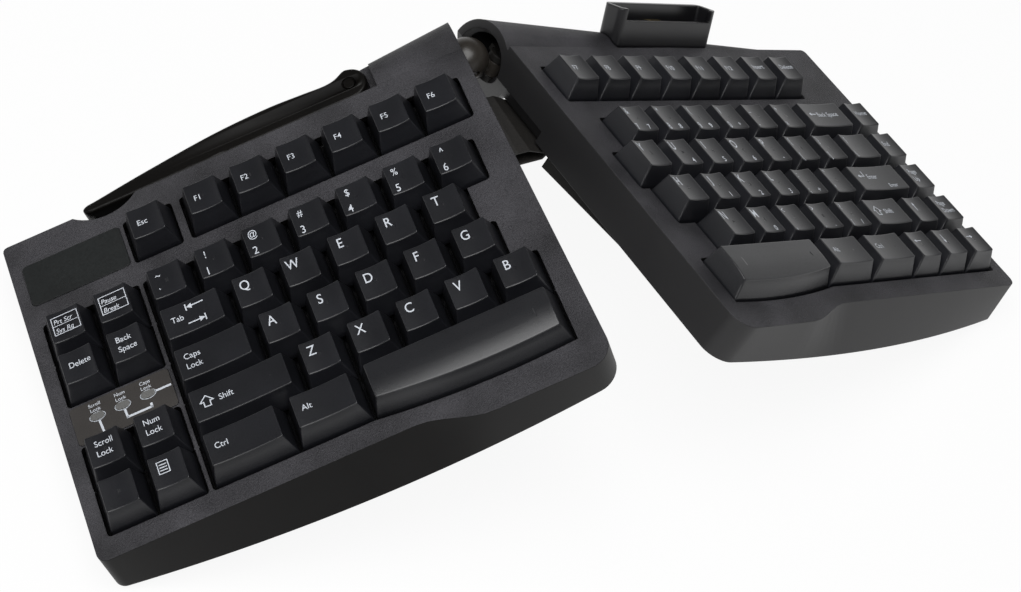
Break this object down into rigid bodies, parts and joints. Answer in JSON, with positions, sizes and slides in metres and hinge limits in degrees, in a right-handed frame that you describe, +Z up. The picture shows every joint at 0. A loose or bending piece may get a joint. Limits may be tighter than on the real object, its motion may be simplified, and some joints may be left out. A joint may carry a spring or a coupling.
{
  "type": "keyboard",
  "caption": "Two-part adjustable computer keyboard joined by a ball, with a rear lock lever on one half and a card reader hood on the other",
  "frame": {"origin": "on the desk, at the middle of the keyboard's footprint", "axes": "+X to the right half, +Y to the rear, +Z up"},
  "size_m": [0.401, 0.183, 0.1003],
  "materials": {
    "cover_plastic": "fine grained charcoal",
    "key_plastic": "fine matt charcoal",
    "base_plastic": "smooth dark",
    "guide_plastic": "plain moulded",
    "dome_rubber": "translucent grey silicone",
    "black_rubber": "matt black",
    "film": "printed polyester film",
    "steel": "plated steel",
    "ball_gloss": "polished black",
    "badge_gloss": "bare black gloss",
    "panel_plastic": "brownish grey film",
    "light_lens": "clear lens, unlit",
    "contact_brass": "gold plated",
    "board": "green circuit board"
  },
  "bodies": {
    "left_half": {"left_top_cover": "cover_plastic", "left_bottom_cover": "base_plastic", "left_guide_plate": "guide_plastic", "left_dome_sheet": "dome_rubber", "left_membrane": "film", "left_back_plate": "steel", "left_feet": "black_rubber", "left_screws": "steel", "badge_plate": "badge_gloss", "indicator_panel": "panel_plastic", "indicator_lights": "light_lens", "ball_cup": "base_plastic", "draw_bar": "steel", "cable_boot": "black_rubber"},
    "lever": {"lock_lever": "base_plastic", "cam_shaft": "steel"},
    "pivot": {"pivot_ball": "ball_gloss", "tent_pin": "steel"},
    "right_half": {"right_top_cover": "cover_plastic", "right_bottom_cover": "base_plastic", "right_guide_plate": "guide_plastic", "right_dome_sheet": "dome_rubber", "right_membrane": "film", "right_back_plate": "steel", "right_feet": "black_rubber", "right_screws": "steel", "ball_fork": "base_plastic", "splay_pin": "steel", "card_reader_hood": "cover_plastic", "card_contacts": "contact_brass", "controller_board": "board"},
    "key_esc": {"key_esc": "key_plastic"},
    "keys_f1_to_f6": {"keys_f1_to_f6": "key_plastic"},
    "keys_number_left": {"keys_number_left": "key_plastic"},
    "key_tab": {"key_tab": "key_plastic"},
    "keys_q_to_t": {"keys_q_to_t": "key_plastic"},
    "key_caps_lock": {"key_caps_lock": "key_plastic"},
    "keys_a_to_g": {"keys_a_to_g": "key_plastic"},
    "key_left_shift": {"key_left_shift": "key_plastic"},
    "keys_z_to_b": {"keys_z_to_b": "key_plastic"},
    "key_left_ctrl": {"key_left_ctrl": "key_plastic"},
    "key_left_alt": {"key_left_alt": "key_plastic"},
    "key_left_space": {"key_left_space": "key_plastic"},
    "keys_edit_upper": {"keys_edit_upper": "key_plastic"},
    "keys_edit_lower": {"keys_edit_lower": "key_plastic"},
    "keys_f7_to_del": {"keys_f7_to_del": "key_plastic"},
    "keys_number_right": {"keys_number_right": "key_plastic"},
    "key_backspace": {"key_backspace": "key_plastic"},
    "keys_y_to_bracket": {"keys_y_to_bracket": "key_plastic"},
    "key_backslash": {"key_backslash": "key_plastic"},
    "keys_h_to_quote": {"keys_h_to_quote": "key_plastic"},
    "key_enter": {"key_enter": "key_plastic"},
    "keys_n_to_slash": {"keys_n_to_slash": "key_plastic"},
    "key_right_shift": {"key_right_shift": "key_plastic"},
    "keys_navigation": {"keys_navigation": "key_plastic"},
    "keys_arrow": {"keys_arrow": "key_plastic"},
    "key_right_space": {"key_right_space": "key_plastic"},
    "key_right_alt": {"key_right_alt": "key_plastic"},
    "key_right_ctrl": {"key_right_ctrl": "key_plastic"}
  },
  "joints": [
    {"name": "tent", "type": "hinge", "parent": "left_half", "child": "pivot", "pos_m": [-0.00314, 0.06806, 0.08335], "axis": [0.0022, 0.9985, -0.0542], "range_deg": [-47.57, 12.38], "deforming": ["cable_boot"]},
    {"name": "splay", "type": "hinge", "parent": "pivot", "child": "right_half", "pos_m": [0.00868, 0.06606, 0.07832], "axis": [0.3978, 0.0488, 0.9162], "range_deg": [-15.26, 9.69], "deforming": ["cable_boot"]},
    {"name": "lever_swing", "type": "hinge", "parent": "left_half", "child": "lever", "pos_m": [-0.04388, 0.07488, 0.06465], "axis": [0.4096, -0.0503, -0.9109], "range_deg": [0, 35]},
    {"name": "press_esc", "type": "slide", "parent": "left_half", "child": "key_esc", "axis": [-0.4096, 0.0503, 0.9109], "range_m": [-0.0035, 0], "stiffness_N_per_m": 150, "springref_m": 0.0012},
    {"name": "press_f1_to_f6", "type": "slide", "parent": "left_half", "child": "keys_f1_to_f6", "axis": [-0.4096, 0.0503, 0.9109], "range_m": [-0.0035, 0], "stiffness_N_per_m": 900, "springref_m": 0.0012},
    {"name": "press_number_left", "type": "slide", "parent": "left_half", "child": "keys_number_left", "axis": [-0.4096, 0.0503, 0.9109], "range_m": [-0.0035, 0], "stiffness_N_per_m": 1050, "springref_m": 0.0012},
    {"name": "press_tab", "type": "slide", "parent": "left_half", "child": "key_tab", "axis": [-0.4096, 0.0503, 0.9109], "range_m": [-0.0035, 0], "stiffness_N_per_m": 150, "springref_m": 0.0012},
    {"name": "press_q_to_t", "type": "slide", "parent": "left_half", "child": "keys_q_to_t", "axis": [-0.4096, 0.0503, 0.9109], "range_m": [-0.0035, 0], "stiffness_N_per_m": 750, "springref_m": 0.0012},
    {"name": "press_caps_lock", "type": "slide", "parent": "left_half", "child": "key_caps_lock", "axis": [-0.4096, 0.0503, 0.9109], "range_m": [-0.0035, 0], "stiffness_N_per_m": 150, "springref_m": 0.0012},
    {"name": "press_a_to_g", "type": "slide", "parent": "left_half", "child": "keys_a_to_g", "axis": [-0.4096, 0.0503, 0.9109], "range_m": [-0.0035, 0], "stiffness_N_per_m": 750, "springref_m": 0.0012},
    {"name": "press_left_shift", "type": "slide", "parent": "left_half", "child": "key_left_shift", "axis": [-0.4096, 0.0503, 0.9109], "range_m": [-0.0035, 0], "stiffness_N_per_m": 150, "springref_m": 0.0012},
    {"name": "press_z_to_b", "type": "slide", "parent": "left_half", "child": "keys_z_to_b", "axis": [-0.4096, 0.0503, 0.9109], "range_m": [-0.0035, 0], "stiffness_N_per_m": 750, "springref_m": 0.0012},
    {"name": "press_left_ctrl", "type": "slide", "parent": "left_half", "child": "key_left_ctrl", "axis": [-0.4096, 0.0503, 0.9109], "range_m": [-0.0035, 0], "stiffness_N_per_m": 150, "springref_m": 0.0012},
    {"name": "press_left_alt", "type": "slide", "parent": "left_half", "child": "key_left_alt", "axis": [-0.4096, 0.0503, 0.9109], "range_m": [-0.0035, 0], "stiffness_N_per_m": 150, "springref_m": 0.0012},
    {"name": "press_left_space", "type": "slide", "parent": "left_half", "child": "key_left_space", "axis": [-0.4096, 0.0503, 0.9109], "range_m": [-0.0035, 0], "stiffness_N_per_m": 150, "springref_m": 0.0012},
    {"name": "press_edit_upper", "type": "slide", "parent": "left_half", "child": "keys_edit_upper", "axis": [-0.4096, 0.0503, 0.9109], "range_m": [-0.0035, 0], "stiffness_N_per_m": 600, "springref_m": 0.0012},
    {"name": "press_edit_lower", "type": "slide", "parent": "left_half", "child": "keys_edit_lower", "axis": [-0.4096, 0.0503, 0.9109], "range_m": [-0.0035, 0], "stiffness_N_per_m": 600, "springref_m": 0.0012},
    {"name": "press_f7_to_del", "type": "slide", "parent": "right_half", "child": "keys_f7_to_del", "axis": [0.3978, 0.0488, 0.9162], "range_m": [-0.0035, 0], "stiffness_N_per_m": 1200, "springref_m": 0.0012},
    {"name": "press_number_right", "type": "slide", "parent": "right_half", "child": "keys_number_right", "axis": [0.3978, 0.0488, 0.9162], "range_m": [-0.0035, 0], "stiffness_N_per_m": 900, "springref_m": 0.0012},
    {"name": "press_backspace", "type": "slide", "parent": "right_half", "child": "key_backspace", "axis": [0.3978, 0.0488, 0.9162], "range_m": [-0.0035, 0], "stiffness_N_per_m": 150, "springref_m": 0.0012},
    {"name": "press_y_to_bracket", "type": "slide", "parent": "right_half", "child": "keys_y_to_bracket", "axis": [0.3978, 0.0488, 0.9162], "range_m": [-0.0035, 0], "stiffness_N_per_m": 1050, "springref_m": 0.0012},
    {"name": "press_backslash", "type": "slide", "parent": "right_half", "child": "key_backslash", "axis": [0.3978, 0.0488, 0.9162], "range_m": [-0.0035, 0], "stiffness_N_per_m": 150, "springref_m": 0.0012},
    {"name": "press_h_to_quote", "type": "slide", "parent": "right_half", "child": "keys_h_to_quote", "axis": [0.3978, 0.0488, 0.9162], "range_m": [-0.0035, 0], "stiffness_N_per_m": 900, "springref_m": 0.0012},
    {"name": "press_enter", "type": "slide", "parent": "right_half", "child": "key_enter", "axis": [0.3978, 0.0488, 0.9162], "range_m": [-0.0035, 0], "stiffness_N_per_m": 150, "springref_m": 0.0012},
    {"name": "press_n_to_slash", "type": "slide", "parent": "right_half", "child": "keys_n_to_slash", "axis": [0.3978, 0.0488, 0.9162], "range_m": [-0.0035, 0], "stiffness_N_per_m": 750, "springref_m": 0.0012},
    {"name": "press_right_shift", "type": "slide", "parent": "right_half", "child": "key_right_shift", "axis": [0.3978, 0.0488, 0.9162], "range_m": [-0.0035, 0], "stiffness_N_per_m": 150, "springref_m": 0.0012},
    {"name": "press_navigation", "type": "slide", "parent": "right_half", "child": "keys_navigation", "axis": [0.3978, 0.0488, 0.9162], "range_m": [-0.0035, 0], "stiffness_N_per_m": 600, "springref_m": 0.0012},
    {"name": "press_arrow", "type": "slide", "parent": "right_half", "child": "keys_arrow", "axis": [0.3978, 0.0488, 0.9162], "range_m": [-0.0035, 0], "stiffness_N_per_m": 600, "springref_m": 0.0012},
    {"name": "press_right_space", "type": "slide", "parent": "right_half", "child": "key_right_space", "axis": [0.3978, 0.0488, 0.9162], "range_m": [-0.0035, 0], "stiffness_N_per_m": 150, "springref_m": 0.0012},
    {"name": "press_right_alt", "type": "slide", "parent": "right_half", "child": "key_right_alt", "axis": [0.3978, 0.0488, 0.9162], "range_m": [-0.0035, 0], "stiffness_N_per_m": 150, "springref_m": 0.0012},
    {"name": "press_right_ctrl", "type": "slide", "parent": "right_half", "child": "key_right_ctrl", "axis": [0.3978, 0.0488, 0.9162], "range_m": [-0.0035, 0], "stiffness_N_per_m": 150, "springref_m": 0.0012}
  ]
}
